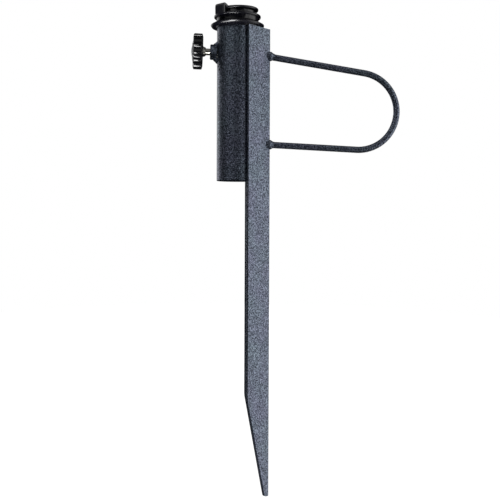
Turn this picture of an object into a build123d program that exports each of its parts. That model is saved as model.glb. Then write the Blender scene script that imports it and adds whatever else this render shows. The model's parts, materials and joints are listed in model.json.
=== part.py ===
from build123d import *
import os
from math import cos, degrees, radians, sin, sqrt, tan

# Rod and parasol holder on a ground spike, in millimetres, +Z up.
# The origin is on the socket tube's axis, level with the tube's lower end, which is the ground line
# when the spike is driven in. The step handle points to +X and the clamp knob to -X.

# Socket tube
TUBE_R = 19.0
TUBE_WALL = 1.8
TUBE_LENGTH = 142.0
TUBE_END_CHAMFER = 0.4
TUBE_BORE_R = TUBE_R - TUBE_WALL

# Spike: equal angle bar that cradles the tube, with its ridge towards the handle
LEG_WIDTH = 30.0
LEG_THICKNESS = 3.0
RIDGE_RADIUS = 1.0
ROOT_RADIUS = 2.5
TOE_RADIUS = 1.5
TIP_Z = -296.0
TAPER_START_Z = -201.5
TIP_LEG_WIDTH = 5.5
TIP_ROUNDING = 3.0
TAPER_ROUNDING = 4.0
RIDGE_X = (TUBE_R + LEG_THICKNESS) * sqrt(2)

# Step handle: one bent round bar, butted against the ridge
BAR_R = 3.0
BEND_R = 36.3
BEND_X = 114.4
BEND_Z = 66.45
UPPER_SLOPE = radians(9.0)
LOWER_SLOPE = radians(2.75)
BAR_COPE = 1.2
HANDLE_WELD_R = 5.6
HANDLE_WELD_REACH = 4.5

# Stitch welds in the grooves between the tube and the angle's toes
SEAM_NEAR = 2.0
SEAM_FAR = 5.5
SEAM_DEPTH = 1.0
STITCH_LENGTH = 22.0
STITCH_COUNT = 3
STITCH_PITCH = 48.0
FIRST_STITCH_Z = 12.0

# Clamp screw. Its axis leaves the tube wall slightly upwards, and the distances along it are measured
# inwards from the tube's outer wall, so they are negative outside the tube.
CLAMP_Z = 119.9
CLAMP_TILT = 2.0
THREAD_R = 4.0
THREAD_BORE_R = 4.06
WALL_HOLE_R = 4.4
NUT_FLATS = 13.0
NUT_HEIGHT = 6.5
NUT_CHAMFER = 0.6
NUT_TURN = 8.0
NUT_WELD_START = -3.0
NUT_WELD_END = 5.0
NUT_WELD_R = 7.7
NUT_WELD_FLARE = 0.5
NUT_WELD_WIDTH = 8.0
NECK_R = 3.1
STEM_R = 2.6
THREAD_START = -5.5
THREAD_END = 1.4
DOG_R = 2.0
DOG_END = 4.4
PAD_R = 3.2
PAD_START = 1.7
PAD_TIP = 5.7
PAD_BORE_R = 2.05
PAD_BORE_END = 4.6
COLLAR_INNER = -11.3
COLLAR_INNER_R = 3.4
COLLAR_OUTER_R = 4.2
KNOB_INNER = -13.6
KNOB_WIDTH = 8.5
KNOB_R = 16.8
KNOB_EDGE = 0.6
LOBE_COUNT = 12
FLUTE_R = 3.2
FLUTE_OFFSET = 1.7
HEAD_R = 6.5
HEAD_START = -20.6
HEAD_END = -18.6
COVER_R = 7.5
COVER_RISE = 2.0
KNOB_OUTER = KNOB_INNER - KNOB_WIDTH

# Nested reducers. Heights are measured up from the tube's top edge, and depths down from it.
OUTER_SLEEVE_R = 16.9
OUTER_BORE_R = 15.0
OUTER_DEPTH = 58.0
OUTER_COLLAR_R = 20.0
BRIM_R = 24.9
BRIM_LOW = 1.2
BRIM_HIGH = 2.8
BRIM_ROUNDING = 0.7
OUTER_TOP = 6.0
OUTER_TOP_R = 19.8
INNER_SLEEVE_R = 14.7
ROD_BORE_R = 12.9
INNER_DEPTH = 56.0
INNER_NECK_R = 19.6
FLANGE_R = 21.8
FLANGE_LOW = 9.6
FLANGE_HIGH = 11.8
FLANGE_ROUNDING = 1.0
SHOULDER_HIGH = 12.7
COLLAR_R = 17.2
INNER_TOP = 14.9
MOUTH_R = 14.0
MOUTH_FLOOR = 7.5
SLEEVE_CHAMFER = 0.8
SLOT_WIDTH = 11.0
SLOT_TOP_Z = 125.7

# Cap and its strap, which folds at one side of the cap
CAP_R = 19.25
CAP_LOW = 15.4
CAP_HIGH = 17.2
CAP_ROUNDING = 0.7
PLUG_BOTTOM = 9.0
PLUG_TOP_R = 13.6
PLUG_BOTTOM_R = 12.8
PLUG_BORE_R = 11.0
STRAP_AZIMUTH = 225.0
STRAP_WIDTH = 10.0
STRAP_THICKNESS = 1.8
STRAP_ROUNDING = 1.25
STRAP_FACE_R = 24.2
STRAP_FOOT = 9.9
STRAP_FOOT_HEIGHT = 1.6
FOLD_R = 23.2
FOLD_HEIGHT = 18.6
KNUCKLE_R = 1.0
FOLD_GAP = 0.3
CAP_LIFT = 1.9

tube_outside = Pos(0, 0, TUBE_LENGTH / 2) * Cylinder(TUBE_R, 2 * TUBE_LENGTH)
clamp_axis = Location((-TUBE_R, 0, CLAMP_Z), (0, CLAMP_TILT, 0))


def along_x(shape, start, end):
    """A shape of height end - start, made along Z about its centre, laid along X from start to end."""
    return Pos((start + end) / 2, 0, 0) * Rot(0, 90, 0) * shape


def rod(radius, start, end):
    return along_x(Cylinder(radius, end - start), start, end)


def turned(points, rounded=(), rounding=0.0):
    """A solid of revolution about Z from its half section, with some corners of the section rounded."""
    section = Plane.XZ * make_face(Polyline(*points, close=True))
    corners = [section.vertices().sort_by_distance((r, 0, z))[0] for r, z in rounded]
    if corners:
        section = fillet(corners, rounding)
    return revolve(section, Axis.Z)


def make_spike_angle():
    section = make_face(
        Polyline(
            (0, 0),
            (-LEG_WIDTH, 0),
            (-LEG_WIDTH, LEG_THICKNESS),
            (-LEG_THICKNESS, LEG_THICKNESS),
            (-LEG_THICKNESS, LEG_WIDTH),
            (0, LEG_WIDTH),
            close=True,
        )
    )

    def corner(x, y):
        return section.vertices().sort_by_distance((x, y, 0))[0]

    section = fillet([corner(0, 0)], RIDGE_RADIUS)
    section = fillet([corner(-LEG_THICKNESS, LEG_THICKNESS)], ROOT_RADIUS)
    toes = [corner(-LEG_WIDTH, LEG_THICKNESS), corner(-LEG_THICKNESS, LEG_WIDTH)]
    section = fillet(toes, TOE_RADIUS)
    bar = extrude(Pos(0, 0, TIP_Z) * section, TUBE_LENGTH - TIP_Z)

    # One leg's outline seen square on: full width down to the taper, then a straight cut to the tip.
    outline = make_face(
        Polyline(
            (RIDGE_RADIUS, TUBE_LENGTH),
            (-LEG_WIDTH, TUBE_LENGTH),
            (-LEG_WIDTH, TAPER_START_Z),
            (-TIP_LEG_WIDTH, TIP_Z),
            (RIDGE_RADIUS, TIP_Z),
            close=True,
        )
    )
    tip_corner = outline.vertices().sort_by_distance((-TIP_LEG_WIDTH, TIP_Z, 0))[0]
    outline = fillet([tip_corner], TIP_ROUNDING)
    taper_corner = outline.vertices().sort_by_distance((-LEG_WIDTH, TAPER_START_Z, 0))[0]
    outline = fillet([taper_corner], TAPER_ROUNDING)
    prism = extrude(Plane.XZ * outline, LEG_THICKNESS + RIDGE_RADIUS, both=True)
    other_prism = mirror(prism, Plane(origin=(0, 0, 0), z_dir=(1, 1, 0)))
    return Pos(RIDGE_X, 0, 0) * Rot(0, 0, 45) * (bar & (prism + other_prism))


def handle_ends():
    """Where the upper and the lower straight of the handle's centre line meet the ridge."""
    upper_z = BEND_Z + BEND_R * cos(UPPER_SLOPE)
    upper_z += tan(UPPER_SLOPE) * (BEND_X + BEND_R * sin(UPPER_SLOPE) - RIDGE_X)
    lower_z = BEND_Z - BEND_R * cos(LOWER_SLOPE)
    lower_z += tan(LOWER_SLOPE) * (BEND_X - BEND_R * sin(LOWER_SLOPE) - RIDGE_X)
    return upper_z, lower_z


def make_step_handle(spike):
    upper_z, lower_z = handle_ends()
    start = Vector(RIDGE_X - BAR_COPE, 0, upper_z + BAR_COPE * tan(UPPER_SLOPE))
    end = Vector(RIDGE_X - BAR_COPE, 0, lower_z + BAR_COPE * tan(LOWER_SLOPE))
    bend_start = Vector(BEND_X + BEND_R * sin(UPPER_SLOPE), 0, BEND_Z + BEND_R * cos(UPPER_SLOPE))
    bend_middle = Vector(BEND_X + BEND_R, 0, BEND_Z)
    bend_end = Vector(BEND_X - BEND_R * sin(LOWER_SLOPE), 0, BEND_Z - BEND_R * cos(LOWER_SLOPE))
    path = Line(start, bend_start) + ThreePointArc(bend_start, bend_middle, bend_end) + Line(bend_end, end)
    section = Plane(origin=start, z_dir=bend_start - start) * Circle(BAR_R)
    return sweep(section, path=path) - spike


def make_handle_weld(root_z, slope, spike, handle):
    """A flared bead around the bar where it meets the ridge."""
    length = BAR_COPE + HANDLE_WELD_REACH
    bead = along_x(Cone(HANDLE_WELD_R, BAR_R, length), -BAR_COPE, HANDLE_WELD_REACH)
    return Location((RIDGE_X, 0, root_z), (0, degrees(slope), 0)) * bead - spike - handle


def make_seam_weld():
    """Stitches in the groove between the tube and the toe of the angle's leg on the -Y side."""
    touch = LEG_THICKNESS + TUBE_R
    bead = Box(
        SEAM_FAR - SEAM_NEAR, SEAM_DEPTH, STITCH_LENGTH, align=(Align.MIN, Align.MIN, Align.MIN)
    )
    stitches = [
        Pos(-touch - SEAM_FAR, LEG_THICKNESS, FIRST_STITCH_Z + i * STITCH_PITCH) * bead
        for i in range(STITCH_COUNT)
    ]
    return [Pos(RIDGE_X, 0, 0) * Rot(0, 0, 45) * stitch - tube_outside for stitch in stitches]


def make_socket_tube():
    tube = Pos(0, 0, TUBE_LENGTH / 2) * (
        Cylinder(TUBE_R, TUBE_LENGTH) - Cylinder(TUBE_BORE_R, TUBE_LENGTH)
    )
    tube = chamfer(tube.edges().filter_by(GeomType.CIRCLE), TUBE_END_CHAMFER)
    return tube - clamp_axis * rod(WALL_HOLE_R, -TUBE_WALL, 2 * TUBE_WALL)


def nut_blank():
    hexagon = RegularPolygon(NUT_FLATS / 2, 6, major_radius=False, rotation=NUT_TURN)
    blank = extrude(hexagon, NUT_HEIGHT)
    corner_cone = Cone(NUT_FLATS / 2 + NUT_HEIGHT + NUT_CHAMFER, NUT_FLATS / 2, NUT_HEIGHT + NUT_CHAMFER)
    blank = blank & Pos(0, 0, (NUT_HEIGHT - NUT_CHAMFER) / 2) * corner_cone
    return Rot(0, -90, 0) * blank


def make_clamp_nut():
    nut = nut_blank() - rod(THREAD_BORE_R, -2 * NUT_HEIGHT, NUT_HEIGHT)
    return clamp_axis * nut - tube_outside


def make_nut_weld():
    """Fillet beads over and under the nut. At its sides the flat nut stands clear of the round wall."""
    length = NUT_WELD_END - NUT_WELD_START
    end_r = NUT_WELD_R + NUT_WELD_FLARE * length
    bead = along_x(Cone(NUT_WELD_R, end_r, length), NUT_WELD_START, NUT_WELD_END)
    bead &= Box(4 * NUT_WELD_R, NUT_WELD_WIDTH, 4 * NUT_WELD_R)
    return clamp_axis * (bead - nut_blank() - rod(NUT_FLATS / 2, 0, NUT_WELD_END)) - tube_outside


def make_clamp_screw():
    screw = rod(HEAD_R, HEAD_START, HEAD_END)
    screw += rod(STEM_R, HEAD_END, COLLAR_INNER)
    screw += rod(NECK_R, COLLAR_INNER, THREAD_START)
    screw += rod(THREAD_R, THREAD_START, THREAD_END)
    screw += rod(DOG_R, THREAD_END, DOG_END)
    return clamp_axis * screw


def make_thrust_pad():
    pad = rod(PAD_R, PAD_START, PAD_TIP) - rod(PAD_BORE_R, PAD_START, PAD_BORE_END)
    return clamp_axis * pad


def make_knob_collar():
    cone = along_x(
        Cone(COLLAR_OUTER_R, COLLAR_INNER_R, COLLAR_INNER - KNOB_INNER), KNOB_INNER, COLLAR_INNER
    )
    return clamp_axis * (cone - rod(STEM_R, KNOB_INNER, COLLAR_INNER))


def make_clamp_knob():
    disc = Cylinder(KNOB_R, KNOB_WIDTH)
    flute = Pos(KNOB_R + FLUTE_OFFSET, 0, 0) * Cylinder(FLUTE_R, KNOB_WIDTH)
    for i in range(LOBE_COUNT):
        disc -= Rot(0, 0, i * 360 / LOBE_COUNT) * flute
    rims = disc.faces().sort_by(Axis.Z)
    disc = chamfer(rims[0].outer_wire().edges() + rims[-1].outer_wire().edges(), KNOB_EDGE)
    knob = along_x(disc, KNOB_OUTER, KNOB_INNER)
    knob -= rod(STEM_R, HEAD_START, KNOB_INNER)
    knob -= rod(HEAD_R, KNOB_OUTER, HEAD_END)
    return clamp_axis * knob


def make_knob_cover():
    """A snap-in cover that hides the screw's head: a spigot in the pocket and a low dome outside."""
    sphere_r = (COVER_R**2 + COVER_RISE**2) / (2 * COVER_RISE)
    dome = Pos(sphere_r - COVER_RISE, 0, 0) * Sphere(sphere_r)
    dome &= rod(COVER_R, -COVER_RISE, 0)
    cover = Pos(KNOB_OUTER, 0, 0) * dome
    cover += rod(HEAD_R, KNOB_OUTER, HEAD_START)
    return clamp_axis * cover


def screw_slot():
    """The slot that lets the reducers drop over the screw: open below, with a round upper end."""
    slot_r = SLOT_WIDTH / 2
    slot_height = SLOT_TOP_Z - slot_r
    channel = Box(TUBE_R, SLOT_WIDTH, slot_height, align=(Align.MAX, Align.CENTER, Align.MIN))
    return channel + Pos(0, 0, slot_height) * rod(slot_r, -TUBE_R, 0)


def make_outer_reducer():
    top = TUBE_LENGTH
    bottom = top - OUTER_DEPTH
    brim = [(BRIM_R, top + BRIM_LOW), (BRIM_R, top + BRIM_HIGH)]
    reducer = turned(
        [
            (OUTER_BORE_R, bottom),
            (OUTER_SLEEVE_R - SLEEVE_CHAMFER, bottom),
            (OUTER_SLEEVE_R, bottom + SLEEVE_CHAMFER),
            (OUTER_SLEEVE_R, top),
            (OUTER_COLLAR_R, top),
            (OUTER_COLLAR_R, top + BRIM_LOW),
            *brim,
            (OUTER_TOP_R, top + OUTER_TOP),
            (OUTER_BORE_R, top + OUTER_TOP),
        ],
        brim,
        BRIM_ROUNDING,
    )
    return reducer - screw_slot()


def make_inner_reducer():
    top = TUBE_LENGTH
    bottom = top - INNER_DEPTH
    flange = [(FLANGE_R, top + FLANGE_LOW), (FLANGE_R, top + FLANGE_HIGH)]
    reducer = turned(
        [
            (ROD_BORE_R, bottom),
            (INNER_SLEEVE_R - SLEEVE_CHAMFER, bottom),
            (INNER_SLEEVE_R, bottom + SLEEVE_CHAMFER),
            (INNER_SLEEVE_R, top + OUTER_TOP),
            (INNER_NECK_R, top + OUTER_TOP),
            (INNER_NECK_R, top + FLANGE_LOW),
            *flange,
            (COLLAR_R, top + SHOULDER_HIGH),
            (COLLAR_R, top + INNER_TOP),
            (MOUTH_R, top + INNER_TOP),
            (MOUTH_R, top + MOUTH_FLOOR),
            (ROD_BORE_R, top + MOUTH_FLOOR),
        ],
        flange,
        FLANGE_ROUNDING,
    )
    return reducer - screw_slot()


def at_strap(shape):
    """Turn a shape made in the XZ plane to the side where the strap is."""
    return Rot(0, 0, STRAP_AZIMUTH) * shape


def lifted(shape):
    """The cap stands a little proud on the side away from its strap."""
    fold = Pos(FOLD_R, 0, TUBE_LENGTH + FOLD_HEIGHT)
    return at_strap(fold * Rot(0, CAP_LIFT, 0) * fold.inverse() * shape)


def cap_blank():
    top = TUBE_LENGTH
    rim = [(CAP_R, top + CAP_LOW), (CAP_R, top + CAP_HIGH)]
    return turned(
        [
            (0, top + CAP_LOW),
            (PLUG_BORE_R, top + CAP_LOW),
            (PLUG_BORE_R, top + PLUG_BOTTOM),
            (PLUG_BOTTOM_R, top + PLUG_BOTTOM),
            (PLUG_TOP_R, top + INNER_TOP),
            (PLUG_TOP_R, top + CAP_LOW),
            *rim,
            (0, top + CAP_HIGH),
        ],
        rim,
        CAP_ROUNDING,
    )


def make_strap_upper():
    """The stretch from the cap's rim up to the fold, which swings with the cap."""
    root = Vector(CAP_R - STRAP_THICKNESS, 0, TUBE_LENGTH + (CAP_LOW + CAP_HIGH) / 2)
    fold = Vector(FOLD_R, 0, TUBE_LENGTH + FOLD_HEIGHT)
    rise = fold - root
    slab = Box(rise.length, STRAP_WIDTH, STRAP_THICKNESS, align=(Align.MIN, Align.CENTER, Align.CENTER))
    slab = Plane(origin=root, x_dir=rise, z_dir=rise.cross(Vector(0, 1, 0))) * slab
    knuckle = Location(fold, (90, 0, 0)) * Cylinder(KNUCKLE_R, STRAP_WIDTH)
    return lifted(slab + knuckle - cap_blank())


def make_strap_lower(inner_reducer):
    """The stretch from the fold down to the reducer's flange."""
    low = TUBE_LENGTH + STRAP_FOOT
    high = TUBE_LENGTH + FOLD_HEIGHT - KNUCKLE_R - FOLD_GAP
    near_face = STRAP_FACE_R - STRAP_THICKNESS
    align = (Align.MAX, Align.CENTER, Align.MIN)
    wall = Pos(STRAP_FACE_R, 0, low) * Box(STRAP_THICKNESS, STRAP_WIDTH, high - low, align=align)
    outer_low_edge = wall.edges().filter_by(Axis.Y).group_by(Axis.Z)[0].sort_by(Axis.X)[-1]
    wall = fillet([outer_low_edge], STRAP_ROUNDING)
    foot = Pos(near_face, 0, low) * Box(STRAP_THICKNESS, STRAP_WIDTH, STRAP_FOOT_HEIGHT, align=align)
    return at_strap(wall + foot) - inner_reducer


spike_angle = make_spike_angle()
step_handle = make_step_handle(spike_angle)
upper_root_z, lower_root_z = handle_ends()
seam_weld_front = Compound(make_seam_weld())
inner_reducer = make_inner_reducer()

nodes = {
    "spike_angle": spike_angle,
    "socket_tube": make_socket_tube(),
    "step_handle": step_handle,
    "handle_weld_upper": make_handle_weld(upper_root_z, UPPER_SLOPE, spike_angle, step_handle),
    "handle_weld_lower": make_handle_weld(lower_root_z, LOWER_SLOPE, spike_angle, step_handle),
    "seam_weld_front": seam_weld_front,
    "seam_weld_rear": mirror(seam_weld_front, Plane.XZ),
    "clamp_nut": make_clamp_nut(),
    "nut_weld": make_nut_weld(),
    "clamp_screw": make_clamp_screw(),
    "thrust_pad": make_thrust_pad(),
    "knob_collar": make_knob_collar(),
    "clamp_knob": make_clamp_knob(),
    "knob_cover": make_knob_cover(),
    "outer_reducer": make_outer_reducer(),
    "inner_reducer": inner_reducer,
    "strap_lower": make_strap_lower(inner_reducer),
    "strap_upper": make_strap_upper(),
    "cap": lifted(cap_blank()),
}

os.makedirs("parts", exist_ok=True)
for name, shape in nodes.items():
    export_step(shape, f"parts/{name}.step")
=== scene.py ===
import json
from math import cos, exp, log, pi, radians, sin, sqrt, tan, tau

import bmesh
import bpy
from mathutils import Matrix, Vector, noise

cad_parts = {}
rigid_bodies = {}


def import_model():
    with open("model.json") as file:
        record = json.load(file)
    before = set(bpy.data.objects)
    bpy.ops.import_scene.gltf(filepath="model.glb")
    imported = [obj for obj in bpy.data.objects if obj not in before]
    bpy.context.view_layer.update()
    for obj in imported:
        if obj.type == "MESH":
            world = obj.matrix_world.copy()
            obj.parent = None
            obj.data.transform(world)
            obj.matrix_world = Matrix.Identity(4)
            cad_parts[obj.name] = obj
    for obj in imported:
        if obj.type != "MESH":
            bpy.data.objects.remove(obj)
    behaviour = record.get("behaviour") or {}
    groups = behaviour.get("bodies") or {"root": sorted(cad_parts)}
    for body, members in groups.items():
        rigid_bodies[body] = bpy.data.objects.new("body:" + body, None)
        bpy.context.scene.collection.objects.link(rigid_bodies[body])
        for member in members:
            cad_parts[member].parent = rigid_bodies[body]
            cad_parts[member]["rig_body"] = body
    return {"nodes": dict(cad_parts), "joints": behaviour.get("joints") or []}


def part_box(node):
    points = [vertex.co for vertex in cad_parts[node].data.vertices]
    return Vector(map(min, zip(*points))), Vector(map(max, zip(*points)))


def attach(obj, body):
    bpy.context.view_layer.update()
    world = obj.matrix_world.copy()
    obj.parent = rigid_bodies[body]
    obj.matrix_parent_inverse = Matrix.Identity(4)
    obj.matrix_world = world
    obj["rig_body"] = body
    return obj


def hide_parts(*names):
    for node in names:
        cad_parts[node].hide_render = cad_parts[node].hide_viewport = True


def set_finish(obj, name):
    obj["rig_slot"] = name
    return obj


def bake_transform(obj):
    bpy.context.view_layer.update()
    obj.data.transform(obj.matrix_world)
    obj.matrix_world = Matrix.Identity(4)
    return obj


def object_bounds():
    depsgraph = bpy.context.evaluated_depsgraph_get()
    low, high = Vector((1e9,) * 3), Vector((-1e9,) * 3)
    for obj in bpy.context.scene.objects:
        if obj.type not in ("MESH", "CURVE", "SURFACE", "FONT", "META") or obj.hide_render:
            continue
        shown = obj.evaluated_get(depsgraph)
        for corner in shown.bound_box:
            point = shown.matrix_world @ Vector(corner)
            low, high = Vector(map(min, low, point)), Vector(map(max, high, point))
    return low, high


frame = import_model()
cad_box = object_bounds()

# Lengths are in millimetres until a mesh is made, and MM turns them into Blender's metres.
MM = 0.001
WELD_DISTANCE = 0.002
ARC_STEPS = 5
SMOOTH_ANGLE = radians(32)
EDGE_ANGLE = radians(31)

# Handle welds. The bar's two straights slope down from the ridge.
BAR_R = 3.0
UPPER_SLOPE = radians(9.0)
LOWER_SLOPE = radians(2.75)
HANDLE_WELD_R = 5.0
HANDLE_WELD_DEPTH = 5.4
HANDLE_WELD_REACH = 4.3
HANDLE_WELD_RIPPLES = 11
HANDLE_WELD_RIPPLE_HEIGHT = 0.32
CRESCENT_LENGTH = 3

# Nut weld
NUT_WELD_R = 7.7
NUT_WELD_FOOT_R = 9.9
NUT_WELD_HALF_ANGLE = radians(31)
NUT_WELD_STEPS = 56
NUT_WELD_RIPPLES = 3.5
NUT_WELD_RIPPLE_HEIGHT = 0.35
NUT_WELD_CORE_R = 5.0
NUT_WELD_END = 1.2

# Stitch welds in the grooves
STITCH_COUNT = 3
STITCH_LENGTH = 22.0
STITCH_R = 1.25
STITCH_RIPPLE_PITCH = 1.5
STITCH_RIPPLE_HEIGHT = 0.16
STITCH_STEPS = 60

# Clamp screw: distances along its axis run inwards from the tube's outer wall
THREAD_PITCH = 1.25
THREAD_R = 4.0
THREAD_ROOT_R = 3.3
THREAD_START = -5.5
THREAD_END = 1.4
THREAD_RUNOUT = 0.8
ROWS_PER_PITCH = 10
DOG_R = 2.0
DOG_END = 4.4
NECK_R = 3.1
COLLAR_INNER = -11.3
KNOB_INNER = -13.6
KNOB_OUTER = -22.1
KNOB_R = 16.8
LOBE_COUNT = 12
FLUTE_R = 3.2
FLUTE_CENTRE_R = 18.5
FLUTE_BLEND = 0.22
PLAIN_FACE_R = 12.0
SCREW_CHANNEL_R = 2.6
COVER_R = 7.5
COVER_RISE = 1.98
COVER_RIM = 1.0
DOME_STEPS = 11

# Thrust pad on the screw's dog point
PAD_R = 3.2
PAD_BORE_R = 2.1
PAD_BORE_END = 4.65
PAD_TIP = 5.7

# Reducer's brim, cap and strap, with heights above the tube's top edge
BRIM_R = 24.88
BRIM_LOW = 1.2
BRIM_SLOPE_HEIGHT = 1.45
BRIM_SLOPE_DEPTH = 0.95
CAP_R = 19.25
CAP_LOW = 15.4
CAP_HIGH = 17.2
CAP_LIFT = radians(1.9)
PLUG_BOTTOM = 9.0
PLUG_TOP_R = 13.6
PLUG_BOTTOM_R = 12.8
PLUG_BORE_R = 11.0
STRAP_AZIMUTH = radians(225)
STRAP_WIDTH = 10.0
STRAP_THICKNESS = 1.8
STRAP_FOLD_THICKNESS = 1.1
STRAP_CENTRE_R = 23.3
STRAP_FOOT = 9.9
STRAP_EDGE = 0.45
FOLD_TAPER = 2.2
# Painted highlight on the strap's folded top: its pale colour, the height above the tube's top where it
# starts, and the band over which it comes in.
FOLD_HIGHLIGHT_FROM = 17.0
FOLD_HIGHLIGHT_BAND = 2.6
FOLD_HIGHLIGHT_COLOUR = (0.3, 0.3, 0.31)

TUBE_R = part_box("socket_tube")[1].y / MM
TUBE_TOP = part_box("socket_tube")[1].z / MM
joints = {joint["name"]: joint for joint in frame["joints"]}


# ---------------------------------------------------------------- materials


class Finish:
    """A material being built: a Principled shader with textures in object space."""

    def __init__(self, name, **values):
        self.material = bpy.data.materials.new(name)
        self.material.use_nodes = True
        self.tree = self.material.node_tree
        self.shader = self.tree.nodes["Principled BSDF"]
        for socket, value in values.items():
            self.shader.inputs[socket.replace("_", " ")].default_value = value
        self.place = self.tree.nodes.new("ShaderNodeTexCoord").outputs["Object"]

    def node(self, kind, inputs=(), **settings):
        made = self.tree.nodes.new(kind)
        for name, value in settings.items():
            setattr(made, name, value)
        for socket, value in dict(inputs).items():
            if isinstance(value, bpy.types.NodeSocket):
                self.tree.links.new(value, made.inputs[socket])
            else:
                made.inputs[socket].default_value = value
        return made

    def noise(self, size, detail=2.0, roughness=0.5, stretch=(1, 1, 1)):
        """Noise whose blotches are about size millimetres across."""
        place = self.node("ShaderNodeMapping", {"Vector": self.place, "Scale": stretch})
        inputs = {
            "Vector": place.outputs["Vector"],
            "Scale": 1 / (size * MM),
            "Detail": detail,
            "Roughness": roughness,
        }
        return self.node("ShaderNodeTexNoise", inputs).outputs["Fac"]

    def cells(self, size, smoothness=0.5):
        """Distance from the middle of rounded cells about size millimetres across."""
        inputs = {"Vector": self.place, "Scale": 1 / (size * MM), "Smoothness": smoothness}
        return self.node("ShaderNodeTexVoronoi", inputs, feature="SMOOTH_F1").outputs["Distance"]

    def ramp(self, source, stops):
        """Maps a grey value to colours, given as {position: (r, g, b)}."""
        made = self.node("ShaderNodeValToRGB", {"Fac": source})
        elements = made.color_ramp.elements
        while len(elements) < len(stops):
            elements.new(0.5)
        for element, (position, colour) in zip(elements, sorted(stops.items())):
            element.position = position
            element.color = (*colour, 1.0)
        return made.outputs["Color"]

    def spread(self, source, low, high, source_low=0.3, source_high=0.7):
        inputs = {"Value": source, "From Min": source_low, "From Max": source_high}
        inputs |= {"To Min": low, "To Max": high}
        return self.node("ShaderNodeMapRange", inputs).outputs["Result"]

    def mix(self, first, second, share, blend_type="MIX"):
        inputs = {"Factor": share, "A": first, "B": second}
        made = self.tree.nodes.new("ShaderNodeMix")
        made.data_type = "RGBA"
        made.blend_type = blend_type
        for socket in made.inputs:
            if socket.type == "RGBA" or socket.identifier == "Factor_Float":
                value = inputs[socket.name]
                if isinstance(value, bpy.types.NodeSocket):
                    self.tree.links.new(value, socket)
                else:
                    socket.default_value = value
        return next(socket for socket in made.outputs if socket.type == "RGBA")

    def bump(self, height, depth, under=None):
        """A bump whose full height is depth millimetres, on top of another bump."""
        inputs = {"Height": height, "Distance": depth * MM}
        if under is not None:
            inputs["Normal"] = under
        return self.node("ShaderNodeBump", inputs).outputs["Normal"]

    def set(self, **sources):
        for socket, source in sources.items():
            self.tree.links.new(source, self.shader.inputs[socket.replace("_", " ")])
        return self.material


def hammertone_paint():
    """Blue-grey hammer finish: small domes in a dark network, on a slow change of hue. The domes are
    painted lighter where the relief rises: partly the paint's own mottle, partly a painted highlight on
    their tops.
    """
    paint = Finish("hammertone_paint", Metallic=0.85, Coat_Weight=0.25, Coat_Roughness=0.12)
    domes = paint.cells(1.25, 0.6)
    worms = paint.noise(0.85, 1.5)
    pattern = paint.mix(domes, worms, 0.62)
    # Light colour on the raised domes: the paint's mottle, and in part painted highlights on the hammer
    # domes.
    mottle_and_sheen = paint.ramp(
        pattern, {0.36: (0.03, 0.036, 0.052), 0.47: (0.15, 0.168, 0.225), 0.6: (0.36, 0.395, 0.49)}
    )
    hue = paint.ramp(paint.noise(26), {0.35: (0.93, 0.92, 1.0), 0.65: (0.9, 1.0, 0.98)})
    colour = paint.mix(mottle_and_sheen, hue, 1.0, "MULTIPLY")
    relief = paint.bump(pattern, 0.6)
    relief = paint.bump(paint.noise(9), 0.15, relief)
    return paint.set(
        Base_Color=colour,
        Roughness=paint.spread(pattern, 0.42, 0.27),
        Normal=relief,
    )


def black_plastic(name, colour, roughness, gloss, fold_height=None):
    """Moulded black plastic: a faint orange peel, slow gloss changes and light scuffs.

    Above fold_height in metres it is painted lighter in fine streaks: a painted highlight standing in for
    the light that the strap's folded top catches.
    """
    plastic = Finish(name, Specular_IOR_Level=gloss, Coat_Weight=gloss, Coat_Roughness=0.5 * roughness)
    blotches = plastic.noise(7, 3)
    tone = plastic.ramp(blotches, {0.3: tuple(0.7 * c for c in colour), 0.7: colour})
    if fold_height is not None:
        # Painted highlight: fine pale streaks above fold_height, for the light on the strap's fold.
        height = plastic.node("ShaderNodeSeparateXYZ", {"Vector": plastic.place}).outputs["Z"]
        fold_highlight_rise = plastic.spread(height, 0.0, 1.0, fold_height, fold_height + FOLD_HIGHLIGHT_BAND * MM)
        streaks = plastic.spread(plastic.noise(0.6, 3, 0.7, (1, 1, 3)), 0.1, 1.0, 0.35, 0.65)
        share = plastic.node("ShaderNodeMath", {0: fold_highlight_rise, 1: streaks}, operation="MULTIPLY")
        tone = plastic.mix(tone, (*FOLD_HIGHLIGHT_COLOUR, 1.0), share.outputs["Value"])
    scuffs = plastic.noise(2.2, 4, 0.6, (1, 1, 5))
    peel = plastic.bump(plastic.noise(0.9, 1), 0.012)
    relief = plastic.bump(scuffs, 0.02, peel)
    return plastic.set(
        Base_Color=tone,
        Roughness=plastic.spread(scuffs, roughness * 0.8, roughness * 1.35),
        Normal=relief,
    )


def zinc_plate():
    """Bright zinc with fine turning marks round the screw and slightly yellow patches."""
    zinc = Finish("zinc_plate", Metallic=1.0)
    patches = zinc.ramp(zinc.noise(2.5, 3), {0.35: (0.47, 0.46, 0.42), 0.65: (0.66, 0.65, 0.6)})
    marks = zinc.noise(0.35, 2, 0.5, (3, 0.4, 0.4))
    return zinc.set(
        Base_Color=patches,
        Roughness=zinc.spread(marks, 0.2, 0.42),
        Normal=zinc.bump(marks, 0.02),
    )


def pale_plastic(name, dark, light, roughness):
    """Pale moulded plastic with soft flow marks and a fine grain."""
    plastic = Finish(name, Subsurface_Weight=0.08, Subsurface_Scale=0.002)
    flow = plastic.ramp(plastic.noise(5, 2), {0.35: dark, 0.65: light})
    grain = plastic.noise(0.6, 2)
    return plastic.set(
        Base_Color=flow,
        Roughness=plastic.spread(grain, roughness * 0.85, roughness * 1.2),
        Normal=plastic.bump(grain, 0.01),
    )


PAINT = hammertone_paint()
ZINC = zinc_plate()
REDUCER_PLASTIC = black_plastic("reducer_plastic", (0.008, 0.008, 0.013), 0.22, 0.45)
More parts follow.
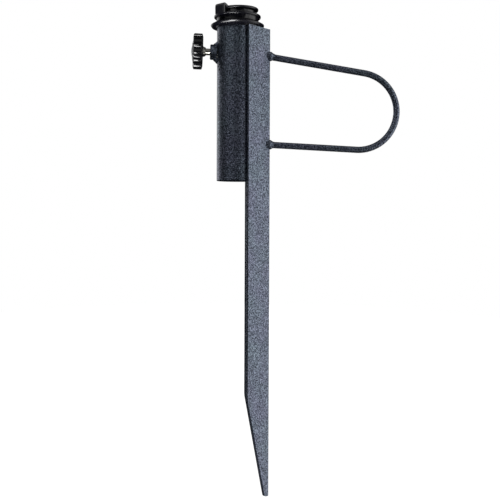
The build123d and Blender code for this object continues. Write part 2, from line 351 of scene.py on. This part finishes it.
# The strap's plastic is painted lighter above its fold, as a painted highlight.
STRAP_PLASTIC = black_plastic(
    "strap_plastic", (0.01, 0.01, 0.014), 0.3, 0.5, (TUBE_TOP + FOLD_HIGHLIGHT_FROM) * MM
)
KNOB_PLASTIC = black_plastic("knob_plastic", (0.008, 0.008, 0.01), 0.1, 0.42)
COVER_PLASTIC = pale_plastic("cover_plastic", (0.56, 0.57, 0.59), (0.66, 0.67, 0.69), 0.3)
PAD_NYLON = pale_plastic("pad_nylon", (0.68, 0.66, 0.58), (0.78, 0.76, 0.69), 0.42)


# ---------------------------------------------------------------- shaping helpers


def finish_piece(name, bm, body, slot, material, replaced=()):
    """Turns a bmesh in metres into a smooth-shaded piece that rides on a body."""
    bmesh.ops.remove_doubles(bm, verts=bm.verts, dist=WELD_DISTANCE * MM)
    bmesh.ops.recalc_face_normals(bm, faces=bm.faces)
    mesh = bpy.data.meshes.new(name)
    bm.to_mesh(mesh)
    bm.free()
    mesh.shade_smooth()
    mesh.set_sharp_from_angle(angle=SMOOTH_ANGLE)
    mesh.materials.append(material)
    piece = bpy.data.objects.new(name, mesh)
    bpy.context.scene.collection.objects.link(piece)
    if body:
        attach(piece, body)
    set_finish(piece, slot)
    if replaced:
        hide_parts(*replaced)
    return piece


def rounded_outline(corners):
    """The outline through corners (x, y, radius), each corner rounded by an arc of its radius."""
    points = []
    for i, (x, y, radius) in enumerate(corners):
        here = Vector((x, y))
        if radius == 0:
            points.append(here)
            continue
        back = (Vector(corners[i - 1][:2]) - here).normalized()
        ahead = (Vector(corners[(i + 1) % len(corners)][:2]) - here).normalized()
        half = back.angle(ahead) / 2
        centre = here + (back + ahead).normalized() * radius / sin(half)
        start = here + back * radius / tan(half) - centre
        end = here + ahead * radius / tan(half) - centre
        points += [centre + start.slerp(end, step / ARC_STEPS) for step in range(ARC_STEPS + 1)]
    return points


def bridge(bm, ring, following, closed=True):
    """Faces between two rings of as many points each."""
    for i in range(len(ring) if closed else len(ring) - 1):
        j = (i + 1) % len(ring)
        bm.faces.new((ring[i], ring[j], following[j], following[i]))


def turned(corners, place, closed=True, steps=96, warp=None):
    """A bmesh turned about the local Z axis from corners (radius, height, rounding).

    warp moves each point, given in millimetres, before place puts it in the frame.
    """
    outline = rounded_outline(corners)
    bm = bmesh.new()
    rings = []
    for step in range(steps):
        angle = tau * step / steps
        ring = []
        for radius, height in outline:
            point = Vector((radius * cos(angle), radius * sin(angle), height))
            if warp:
                point = warp(point)
            ring.append(bm.verts.new(place @ (point * MM)))
        rings.append(ring)
    for step in range(steps):
        bridge(bm, rings[step], rings[(step + 1) % steps], closed)
    return bm


def axis_place(origin, direction):
    """The placement that takes local Z to direction and the local origin to origin, in metres."""
    turn = Vector((0, 0, 1)).rotation_difference(Vector(direction))
    return Matrix.Translation(Vector(origin)) @ turn.to_matrix().to_4x4()


def softened(node, bevel, material, slot, reshape=None):
    """A copy of a CAD node with its sharp edges broken by a small bevel, to stand in for the node.

    reshape moves each point, given in millimetres.
    """
    bm = bmesh.new()
    bm.from_mesh(frame["nodes"][node].data)
    if reshape:
        for vert in bm.verts:
            vert.co = reshape(vert.co / MM) * MM
    bmesh.ops.remove_doubles(bm, verts=bm.verts, dist=WELD_DISTANCE * MM)
    bmesh.ops.dissolve_limit(bm, angle_limit=radians(0.4), verts=bm.verts, edges=bm.edges)
    body = frame["nodes"][node]["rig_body"]
    piece = finish_piece(f"{node}_finished", bm, body, slot, material, (node,))
    modifier = piece.modifiers.new("broken_edges", "BEVEL")
    modifier.width = bevel * MM
    modifier.segments = 2
    modifier.limit_method = "ANGLE"
    modifier.angle_limit = EDGE_ANGLE
    modifier.use_clamp_overlap = True
    modifier.harden_normals = True
    return piece


def sloping_brim_edge(point):
    """Cuts the brim's outer edge back towards its underside, in a flat slope."""
    radius = Vector((point.x, point.y)).length
    if radius < BRIM_R - BRIM_SLOPE_DEPTH:
        return point
    share = min(1, max(0, (point.z - TUBE_TOP - BRIM_LOW) / BRIM_SLOPE_HEIGHT))
    scale = (BRIM_R - BRIM_SLOPE_DEPTH * (1 - share)) / radius
    return Vector((point.x * scale, point.y * scale, point.z))


def ripple(phase):
    """One weld ripple: a quick rise and a slow fall, from -0.5 to 0.5."""
    share = phase % 1.0
    return share / 0.3 - 0.5 if share < 0.3 else 0.5 - (share - 0.3) / 0.7


def lump(point, size, height):
    """Slow unevenness of a hand-laid bead, in millimetres."""
    return height * noise.noise(point / size)


# ---------------------------------------------------------------- steel


def paint_cad_node(node):
    """The node's own shape is right: it only takes the paint."""
    piece = frame["nodes"][node]
    piece.data.materials.clear()
    piece.data.materials.append(PAINT)
    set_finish(piece, "hammertone_paint")


def make_handle_weld(node, slope):
    """A flared bead of crescent ripples round the bar's root, lapping onto both faces of the ridge."""
    low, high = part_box(node)
    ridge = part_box("spike_angle")[1].x / MM
    root = Vector((ridge, 0, (low.z + high.z) / 2 / MM))
    place = axis_place(root * MM, (1, 0, -tan(slope)))

    def warp(point):
        angle = Vector((point.x, point.y)).angle_signed(Vector((1, 0)), 0)
        crescent = 0.5 * cos(point.z / CRESCENT_LENGTH)
        push = HANDLE_WELD_RIPPLE_HEIGHT * ripple(HANDLE_WELD_RIPPLES * angle / tau + crescent)
        push += lump(point + root, 3.0, 0.5)
        radius = Vector((point.x, point.y)).length
        share = min(1, max(0, (radius - BAR_R) / 1.2))
        scale = 1 + push * share / max(radius, 1)
        return Vector((point.x * scale, point.y * scale, point.z + 0.3 * push * share))

    corners = [
        (0, -HANDLE_WELD_DEPTH, 0),
        (HANDLE_WELD_R - 1.2, -HANDLE_WELD_DEPTH, 1.0),
        (HANDLE_WELD_R, -2.5, 1.5),
        (HANDLE_WELD_R - 0.1, 0.6, 1.6),
        (BAR_R + 0.75, 3.0, 1.6),
        (BAR_R - 0.1, HANDLE_WELD_REACH, 0),
        (0, HANDLE_WELD_REACH, 0),
    ]
    bm = turned(corners, place, closed=False, steps=120, warp=warp)
    finish_piece(f"{node}_bead", bm, "stake", "hammertone_paint", PAINT, (node,))


def make_nut_weld():
    """Rippled fillets over and under the flat nut, with saddle-shaped feet on the round tube wall."""
    section = rounded_outline(
        [
            (NUT_WELD_CORE_R, -2.4, 0),
            (NUT_WELD_R - 0.5, -3.0, 0.5),
            (NUT_WELD_R + 0.5, -1.5, 1.5),
            (NUT_WELD_FOOT_R, 0.3, 0.3),
            (NUT_WELD_FOOT_R - 0.8, NUT_WELD_END, 0),
            (NUT_WELD_CORE_R, NUT_WELD_END, 0),
        ]
    )
    middle = Vector((NUT_WELD_R - 1.2, -0.4))
    bm = bmesh.new()
    for side in (0, pi):
        rings = []
        for step in range(NUT_WELD_STEPS + 1):
            share = 2 * step / NUT_WELD_STEPS - 1
            swell = sqrt(max(1 - share**4, 0.01))
            angle = side + share * NUT_WELD_HALF_ANGLE
            ring = []
            for radius, height in section:
                radius, height = middle + (Vector((radius, height)) - middle) * swell
                around = Vector((cos(angle), sin(angle), 0))
                push = NUT_WELD_RIPPLE_HEIGHT * ripple(NUT_WELD_RIPPLES * share + 0.35 * height)
                push += lump(around * radius, 4.0, 0.7)
                radius += push * min(1, max(0, (radius - middle.x) / 1.2))
                towards_foot = min(1, max(0, (height + 2.5) / 3.5))
                saddle = TUBE_R - sqrt(TUBE_R**2 - (radius * around.y) ** 2)
                point = Vector((radius * around.x, radius * around.y, height + saddle * towards_foot))
                ring.append(bm.verts.new(CLAMP_PLACE @ (point * MM)))
            rings.append(ring)
        for ring, following in zip(rings, rings[1:]):
            bridge(bm, ring, following)
        bm.faces.new(rings[0])
        bm.faces.new(rings[-1])
    finish_piece("nut_weld_beads", bm, "stake", "hammertone_paint", PAINT, ("nut_weld",))


def make_seam_weld(node):
    """Stitches of rippled bead down one groove between the tube and the angle's toe."""
    low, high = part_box(node)
    middle = (low + high) / 2 / MM
    first = low.z / MM
    pitch = (high.z / MM - first - STITCH_LENGTH) / (STITCH_COUNT - 1)

    def warp(point):
        crescent = 0.4 * point.x / STITCH_R
        push = STITCH_RIPPLE_HEIGHT * ripple(point.z / STITCH_RIPPLE_PITCH + crescent)
        push += lump(point + middle, 2.5, 0.25)
        scale = 1 + push / STITCH_R
        return Vector((point.x * scale, point.y * scale, point.z))

    shares = [0.05 + 0.9 * i / STITCH_STEPS for i in range(STITCH_STEPS + 1)]
    side = [(STITCH_R, STITCH_LENGTH * share, 0) for share in shares]
    corners = [(0, 0, 0), *side, (0, STITCH_LENGTH, 0)]
    merged = bmesh.new()
    for i in range(STITCH_COUNT):
        place = Matrix.Translation(Vector((middle.x, middle.y, first + i * pitch)) * MM)
        stitch = turned(corners, place, closed=False, steps=24, warp=warp)
        mesh = bpy.data.meshes.new("stitch")
        stitch.to_mesh(mesh)
        stitch.free()
        merged.from_mesh(mesh)
        bpy.data.meshes.remove(mesh)
    finish_piece(f"{node}_bead", merged, "stake", "hammertone_paint", PAINT, (node,))


# ---------------------------------------------------------------- clamp

CLAMP_AXIS = Vector(joints["screw_turn"]["axis"])
CLAMP_PLACE = axis_place(joints["screw_turn"]["pos_m"], CLAMP_AXIS)


def make_clamp_screw():
    """The turned screw with a real helical thread, a necked shank and a dog point."""
    turns = (THREAD_END - THREAD_START) / THREAD_PITCH
    head = COLLAR_INNER - 6
    corners = [(0, head, 0), (NECK_R, head, 0), (NECK_R, THREAD_START, 0)]
    row_count = round(turns * ROWS_PER_PITCH)
    for row in range(row_count + 1):
        corners.append((THREAD_R, THREAD_START + (THREAD_END - THREAD_START) * row / row_count, 0))
    corners += [(DOG_R, THREAD_END + 0.3, 0), (DOG_R, DOG_END - 0.4, 0.3)]
    corners += [(DOG_R - 0.4, DOG_END, 0), (0, DOG_END, 0)]

    def warp(point):
        flat = Vector((point.x, point.y))
        if flat.length < THREAD_R - 0.001:
            return point
        angle = flat.angle_signed(Vector((1, 0)), 0)
        phase = (point.z / THREAD_PITCH + angle / tau) % 1.0
        depth = 1 - abs(2 * phase - 1)
        from_end = min(point.z - THREAD_START, THREAD_END - point.z)
        fade = min(1, from_end / THREAD_RUNOUT)
        cut = min(1, 1.25 * depth) * fade + 1 - fade
        radius = THREAD_R - (THREAD_R - THREAD_ROOT_R) * cut
        return Vector((flat.x * radius / flat.length, flat.y * radius / flat.length, point.z))

    bm = turned(corners, CLAMP_PLACE, closed=False, steps=72, warp=warp)
    finish_piece("clamp_screw_threaded", bm, "screw", "zinc_plate", ZINC, ("clamp_screw",))


def make_knob_collar():
    corners = [
        (SCREW_CHANNEL_R, KNOB_INNER, 0),
        (4.2, KNOB_INNER, 0.15),
        (4.15, KNOB_INNER + 0.7, 0.3),
        (3.6, KNOB_INNER + 1.0, 0.2),
        (3.75, KNOB_INNER + 1.5, 0.3),
        (3.35, COLLAR_INNER - 0.02, 0.2),
        (SCREW_CHANNEL_R, COLLAR_INNER - 0.02, 0),
    ]
    bm = turned(corners, CLAMP_PLACE, steps=72)
    finish_piece("knob_collar_turned", bm, "screw", "zinc_plate", ZINC, ("knob_collar",))


def flute_radius(angle):
    """The knob's rim radius at an angle, with twelve rounded flutes cut into it."""
    pitch = tau / LOBE_COUNT
    from_flute = (angle + pitch / 2) % pitch - pitch / 2
    across = FLUTE_CENTRE_R * sin(from_flute)
    flute = FLUTE_CENTRE_R * cos(from_flute) - sqrt(max(FLUTE_R**2 - across**2, 0))
    lobes = exp(-(KNOB_R - flute) / FLUTE_BLEND) if flute > KNOB_R else 1.0
    rim = 1.0 if flute > KNOB_R else exp(-(KNOB_R - flute) / FLUTE_BLEND)
    return min(flute, KNOB_R) - FLUTE_BLEND * log(lobes + rim)


def make_clamp_knob():
    """The moulded knob: fluted rim with soft edges, dished outer face and a cored inner face."""

    def warp(point):
        flat = Vector((point.x, point.y))
        radius = flat.length
        if radius < PLAIN_FACE_R:
            return point
        share = (radius - PLAIN_FACE_R) / (KNOB_R - PLAIN_FACE_R)
        share = share * share * (3 - 2 * share)
        angle = flat.angle_signed(Vector((1, 0)), 0)
        moved = radius + (flute_radius(angle) - KNOB_R) * share
        return Vector((flat.x * moved / radius, flat.y * moved / radius, point.z))

    corners = [
        (SCREW_CHANNEL_R, KNOB_INNER, 0),
        (6.6, KNOB_INNER, 0.5),
        (7.4, KNOB_INNER - 2.2, 0.5),
        (12.6, KNOB_INNER - 2.2, 0.6),
        (13.4, KNOB_INNER - 0.15, 0.5),
        (15.0, KNOB_INNER, 0),
        (KNOB_R, KNOB_INNER, 1.1),
        (KNOB_R, KNOB_OUTER, 1.1),
        (14.2, KNOB_OUTER, 0.8),
        (13.4, KNOB_OUTER + 0.8, 0.6),
        (9.2, KNOB_OUTER + 0.8, 0.5),
        (8.8, KNOB_OUTER, 0.3),
        (COVER_R + 0.1, KNOB_OUTER, 0.2),
        (COVER_R + 0.1, KNOB_OUTER + 0.6, 0),
        (SCREW_CHANNEL_R, KNOB_OUTER + 0.6, 0),
    ]
    bm = turned(corners, CLAMP_PLACE, steps=360, warp=warp)
    finish_piece("clamp_knob_moulded", bm, "screw", "knob_plastic", KNOB_PLASTIC, ("clamp_knob",))


def make_knob_cover():
    """The pale snap-in cover: a low dome inside a thin rounded rim."""
    sphere_r = (COVER_R**2 + COVER_RISE**2) / (2 * COVER_RISE)
    dome = []
    for i in range(DOME_STEPS + 1):
        radius = (COVER_R - COVER_RIM) * i / DOME_STEPS
        height = KNOB_OUTER - COVER_RISE + sphere_r - sqrt(sphere_r**2 - radius**2)
        dome.append((radius, height, 0))
    corners = [
        *dome,
        (COVER_R - 0.75, KNOB_OUTER - 0.2, 0.2),
        (COVER_R - 0.1, KNOB_OUTER - 0.35, 0.25),
        (COVER_R, KNOB_OUTER + 0.5, 0),
        (0, KNOB_OUTER + 0.5, 0),
    ]
    bm = turned(corners, CLAMP_PLACE, closed=False, steps=72)
    finish_piece("knob_cover_domed", bm, "screw", "cover_plastic", COVER_PLASTIC, ("knob_cover",))


def make_thrust_pad():
    corners = [
        (PAD_BORE_R, 1.75, 0.1),
        (PAD_R, 1.75, 0.25),
        (PAD_R, 4.6, 0.3),
        (PAD_R - 0.3, PAD_TIP, 0.5),
        (0, PAD_TIP, 0),
        (0, PAD_BORE_END, 0),
        (PAD_BORE_R, PAD_BORE_END, 0),
    ]
    bm = turned(corners, CLAMP_PLACE, steps=64)
    finish_piece("thrust_pad_moulded", bm, "pad", "pad_nylon", PAD_NYLON, ("thrust_pad",))


# ---------------------------------------------------------------- cap and strap

HINGE = Vector(joints["cap_hinge"]["pos_m"])
HINGE_AXIS = Vector(joints["cap_hinge"]["axis"])
TUBE_TOP_PLACE = Matrix.Translation(Vector((0, 0, TUBE_TOP * MM)))
LIFT_PLACE = (
    Matrix.Translation(HINGE) @ Matrix.Rotation(CAP_LIFT, 4, HINGE_AXIS) @ Matrix.Translation(-HINGE)
)


def make_cap():
    """The cap's disc with a shallow dish and a gate mark on top, and its hollow plug below."""
    corners = [
        (0, CAP_HIGH - 0.2, 0),
        (0.9, CAP_HIGH - 0.2, 0.15),
        (1.2, CAP_HIGH - 0.5, 0.15),
        (14.6, CAP_HIGH - 0.5, 0.3),
        (15.4, CAP_HIGH, 0.3),
        (CAP_R, CAP_HIGH, 0.75),
        (CAP_R, CAP_LOW, 0.75),
        (PLUG_TOP_R, CAP_LOW, 0.2),
        (PLUG_TOP_R, CAP_LOW - 0.5, 0),
        (PLUG_BOTTOM_R, PLUG_BOTTOM, 0.4),
        (PLUG_BORE_R, PLUG_BOTTOM, 0.3),
        (PLUG_BORE_R, CAP_LOW, 0.5),
        (0, CAP_LOW, 0),
    ]
    bm = turned(corners, LIFT_PLACE @ TUBE_TOP_PLACE, closed=False, steps=144)
    finish_piece("cap_moulded", bm, "lid", "reducer_plastic", REDUCER_PLASTIC, ("cap",))


def strap_line():
    """The strap's middle line in its own upright plane: up the outside, over the fold, down to the cap."""
    fold_height = HINGE.z / MM - TUBE_TOP
    corners = [
        (STRAP_CENTRE_R - 0.1, STRAP_FOOT + 0.5, 0),
        (STRAP_CENTRE_R, fold_height - 2.5, 0),
        (STRAP_CENTRE_R + 0.1, fold_height + 0.25, 1.0),
        (STRAP_CENTRE_R - 2.2, fold_height - 0.7, 0),
        (CAP_R - 1.2, CAP_LOW + 0.9, 0),
    ]
    return rounded_outline(corners)


def make_strap():
    """One moulded band with rounded edges that thins at its fold."""
    line = strap_line()
    fold_height = HINGE.z / MM - TUBE_TOP
    place = TUBE_TOP_PLACE @ Matrix.Rotation(STRAP_AZIMUTH, 4, "Z")
    bm = bmesh.new()
    sections = []
    for i, here in enumerate(line):
        ahead = line[min(i + 1, len(line) - 1)]
        behind = line[max(i - 1, 0)]
        along = (ahead - behind).normalized()
        normal = Vector((along.y, -along.x))
        nearness = max(0, 1 - (here - Vector((STRAP_CENTRE_R, fold_height))).length / FOLD_TAPER)
        thickness = STRAP_THICKNESS + (STRAP_FOLD_THICKNESS - STRAP_THICKNESS) * nearness
        half = thickness / 2
        section = rounded_outline(
            [
                (-half, -STRAP_WIDTH / 2, STRAP_EDGE),
                (half, -STRAP_WIDTH / 2, STRAP_EDGE),
                (half, STRAP_WIDTH / 2, STRAP_EDGE),
                (-half, STRAP_WIDTH / 2, STRAP_EDGE),
            ]
        )
        ring = []
        for across, sideways in section:
            middle = here + normal * across
            point = Vector((middle.x, sideways, middle.y))
            ring.append(bm.verts.new(place @ (point * MM)))
        sections.append(ring)
    for ring, following in zip(sections, sections[1:]):
        bridge(bm, ring, following)
    bm.faces.new(sections[0])
    bm.faces.new(sections[-1])
    replaced = ("strap_lower", "strap_upper")
    strap = finish_piece("cap_strap", bm, None, "reducer_plastic", STRAP_PLASTIC, replaced)
    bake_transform(strap)


# ---------------------------------------------------------------- build

paint_cad_node("step_handle")
softened("spike_angle", 0.25, PAINT, "hammertone_paint")
softened("socket_tube", 0.2, PAINT, "hammertone_paint")
softened("clamp_nut", 0.3, PAINT, "hammertone_paint")
softened("outer_reducer", 0.2, REDUCER_PLASTIC, "reducer_plastic", sloping_brim_edge)
softened("inner_reducer", 0.25, REDUCER_PLASTIC, "reducer_plastic")
make_handle_weld("handle_weld_upper", UPPER_SLOPE)
make_handle_weld("handle_weld_lower", LOWER_SLOPE)
make_nut_weld()
make_seam_weld("seam_weld_front")
make_seam_weld("seam_weld_rear")
make_clamp_screw()
make_knob_collar()
make_clamp_knob()
make_knob_cover()
make_thrust_pad()
make_cap()
make_strap()


# ---------------------------------------------------------------- studio

FLOOR_GAP = 0.5
FLOOR_R = 0.9
FLOOR_MIDDLE_Y = 0.75
FLOOR_STEPS = 96
LAMP_TARGET = Vector((0, 0, 0.1))
SENSOR = 36.0
FOCAL_SHARE = 1.6
CAMERA_AT = Vector((-27.6, -749.2, -32.6))
CAMERA_YAW = radians(3.06)
CAMERA_PITCH = radians(-0.65)
CAMERA_ROLL = radians(0.224)
CAMERA_SHIFT = -0.05

# Soft patches of light on the studio's walls. Azimuth and elevation are degrees seen from the holder:
# azimuth 0 is towards the camera and 90 towards the handle's side. Sizes are half widths in degrees.
STUDIO_PATCHES = {
    "right_wall": {"azimuth": 86, "elevation": -5, "half_width": 24, "half_height": 34, "brightness": 1.1},
    "right_front": {"azimuth": 48, "elevation": 5, "half_width": 9, "half_height": 16, "brightness": 1.0},
    "left_high": {"azimuth": -44, "elevation": 26, "half_width": 24, "half_height": 11, "brightness": 0.6},
    "low_front": {"azimuth": 15, "elevation": -40, "half_width": 45, "half_height": 16, "brightness": 0.22},
    "left_back": {"azimuth": -142, "elevation": 5, "half_width": 20, "half_height": 12, "brightness": 1.0},
    "ceiling": {"azimuth": 0, "elevation": 75, "half_width": 60, "half_height": 40, "brightness": 0.25},
}
PATCH_EDGE = 9
# Low strip lamp that only these slots catch
STRIP_LIT_SLOTS = ("knob_plastic", "reducer_plastic", "zinc_plate")
STRIP_AT = (-0.27, -0.14, -0.29)
STRIP_SIZE = (1.1, 0.13)
STRIP_POWER = 6.5


def make_floor():
    """A plain pale floor just below the spike's point."""
    paper = Finish("floor_paper", Base_Color=(0.5, 0.5, 0.5, 1), Roughness=0.9)
    paper.shader.inputs["Emission Color"].default_value = (1, 1, 1, 1)
    paper.shader.inputs["Emission Strength"].default_value = 1.0
    bm = bmesh.new()
    height = cad_box[0].z - FLOOR_GAP * MM
    angles = [tau * i / FLOOR_STEPS for i in range(FLOOR_STEPS)]
    outline = [(FLOOR_R * cos(a), FLOOR_MIDDLE_Y + FLOOR_R * sin(a)) for a in angles]
    bm.faces.new([bm.verts.new((x, y, height)) for x, y in outline])
    mesh = bpy.data.meshes.new("floor")
    bm.to_mesh(mesh)
    bm.free()
    mesh.materials.append(paper.material)
    floor = bpy.data.objects.new("floor", mesh)
    floor.visible_glossy = False
    bpy.context.scene.collection.objects.link(floor)


def make_softbox(name, at, size, watts, lit_slots):
    """A rectangular soft light that faces the socket's top and lights only the pieces in some slots."""
    light = bpy.data.lights.new(name, "AREA")
    light.shape = "RECTANGLE"
    light.size, light.size_y = size
    light.energy = watts
    box = bpy.data.objects.new(name, light)
    box.location = at
    box.rotation_euler = (LAMP_TARGET - Vector(at)).to_track_quat("-Z", "Y").to_euler()
    box.visible_camera = False
    lit = bpy.data.collections.new(f"{name}_lit")
    for piece in bpy.context.scene.objects:
        if piece.get("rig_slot") in lit_slots:
            lit.objects.link(piece)
    box.light_linking.receiver_collection = lit
    bpy.context.scene.collection.objects.link(box)


def make_world():
    """A dark studio with soft patches of light, which is plain white where the camera looks."""
    world = bpy.data.worlds.new("studio")
    world.use_nodes = True
    bpy.context.scene.world = world
    nodes, links = world.node_tree.nodes, world.node_tree.links

    def calculate(operation, *values):
        made = nodes.new("ShaderNodeMath")
        made.operation = operation
        for socket, value in zip(made.inputs, values):
            if isinstance(value, bpy.types.NodeSocket):
                links.new(value, socket)
            else:
                socket.default_value = value
        return made.outputs["Value"]

    def component(direction, axis):
        made = nodes.new("ShaderNodeVectorMath")
        made.operation = "DOT_PRODUCT"
        links.new(direction, made.inputs[0])
        made.inputs[1].default_value = axis
        return made.outputs["Value"]

    def inside(angle, half_size):
        made = nodes.new("ShaderNodeMapRange")
        made.interpolation_type = "SMOOTHSTEP"
        made.inputs["From Min"].default_value = radians(half_size + PATCH_EDGE)
        made.inputs["From Max"].default_value = radians(max(half_size - PATCH_EDGE, 0))
        links.new(calculate("ABSOLUTE", angle), made.inputs["Value"])
        return made.outputs["Result"]

    direction = nodes.new("ShaderNodeTexCoord").outputs["Generated"]
    total = 0.0
    for patch in STUDIO_PATCHES.values():
        azimuth, elevation = radians(patch["azimuth"]), radians(patch["elevation"])
        middle = Vector((sin(azimuth) * cos(elevation), -cos(azimuth) * cos(elevation), sin(elevation)))
        level = Vector((cos(azimuth), sin(azimuth), 0))
        ahead = component(direction, middle)
        sideways = calculate("ARCTAN2", component(direction, level), ahead)
        upwards = calculate("ARCSINE", component(direction, middle.cross(level)))
        across = inside(sideways, patch["half_width"])
        shape = calculate("MULTIPLY", across, inside(upwards, patch["half_height"]))
        total = calculate("ADD", total, calculate("MULTIPLY", shape, patch["brightness"]))
    seen = nodes.new("ShaderNodeLightPath").outputs["Is Camera Ray"]
    links.new(calculate("MAXIMUM", total, seen), nodes["Background"].inputs["Strength"])
    nodes["Background"].inputs["Color"].default_value = (1, 1, 1, 1)


def make_camera():
    data = bpy.data.cameras.new("camera")
    data.sensor_width = SENSOR
    data.lens = SENSOR * FOCAL_SHARE
    data.shift_y = CAMERA_SHIFT
    camera = bpy.data.objects.new("camera", data)
    forward = Vector(
        (
            sin(CAMERA_YAW) * cos(CAMERA_PITCH),
            cos(CAMERA_YAW) * cos(CAMERA_PITCH),
            sin(CAMERA_PITCH),
        )
    )
    level = Vector((cos(CAMERA_YAW), -sin(CAMERA_YAW), 0))
    upright = level.cross(forward)
    right = level * cos(CAMERA_ROLL) + upright * sin(CAMERA_ROLL)
    up = upright * cos(CAMERA_ROLL) - level * sin(CAMERA_ROLL)
    turn = Matrix((right, up, -forward)).transposed().to_4x4()
    camera.matrix_world = Matrix.Translation(CAMERA_AT * MM) @ turn
    bpy.context.scene.collection.objects.link(camera)
    bpy.context.scene.camera = camera


make_floor()
make_softbox("low_front_strip", STRIP_AT, STRIP_SIZE, STRIP_POWER, STRIP_LIT_SLOTS)
make_world()
make_camera()
bpy.context.scene.view_settings.view_transform = "Standard"
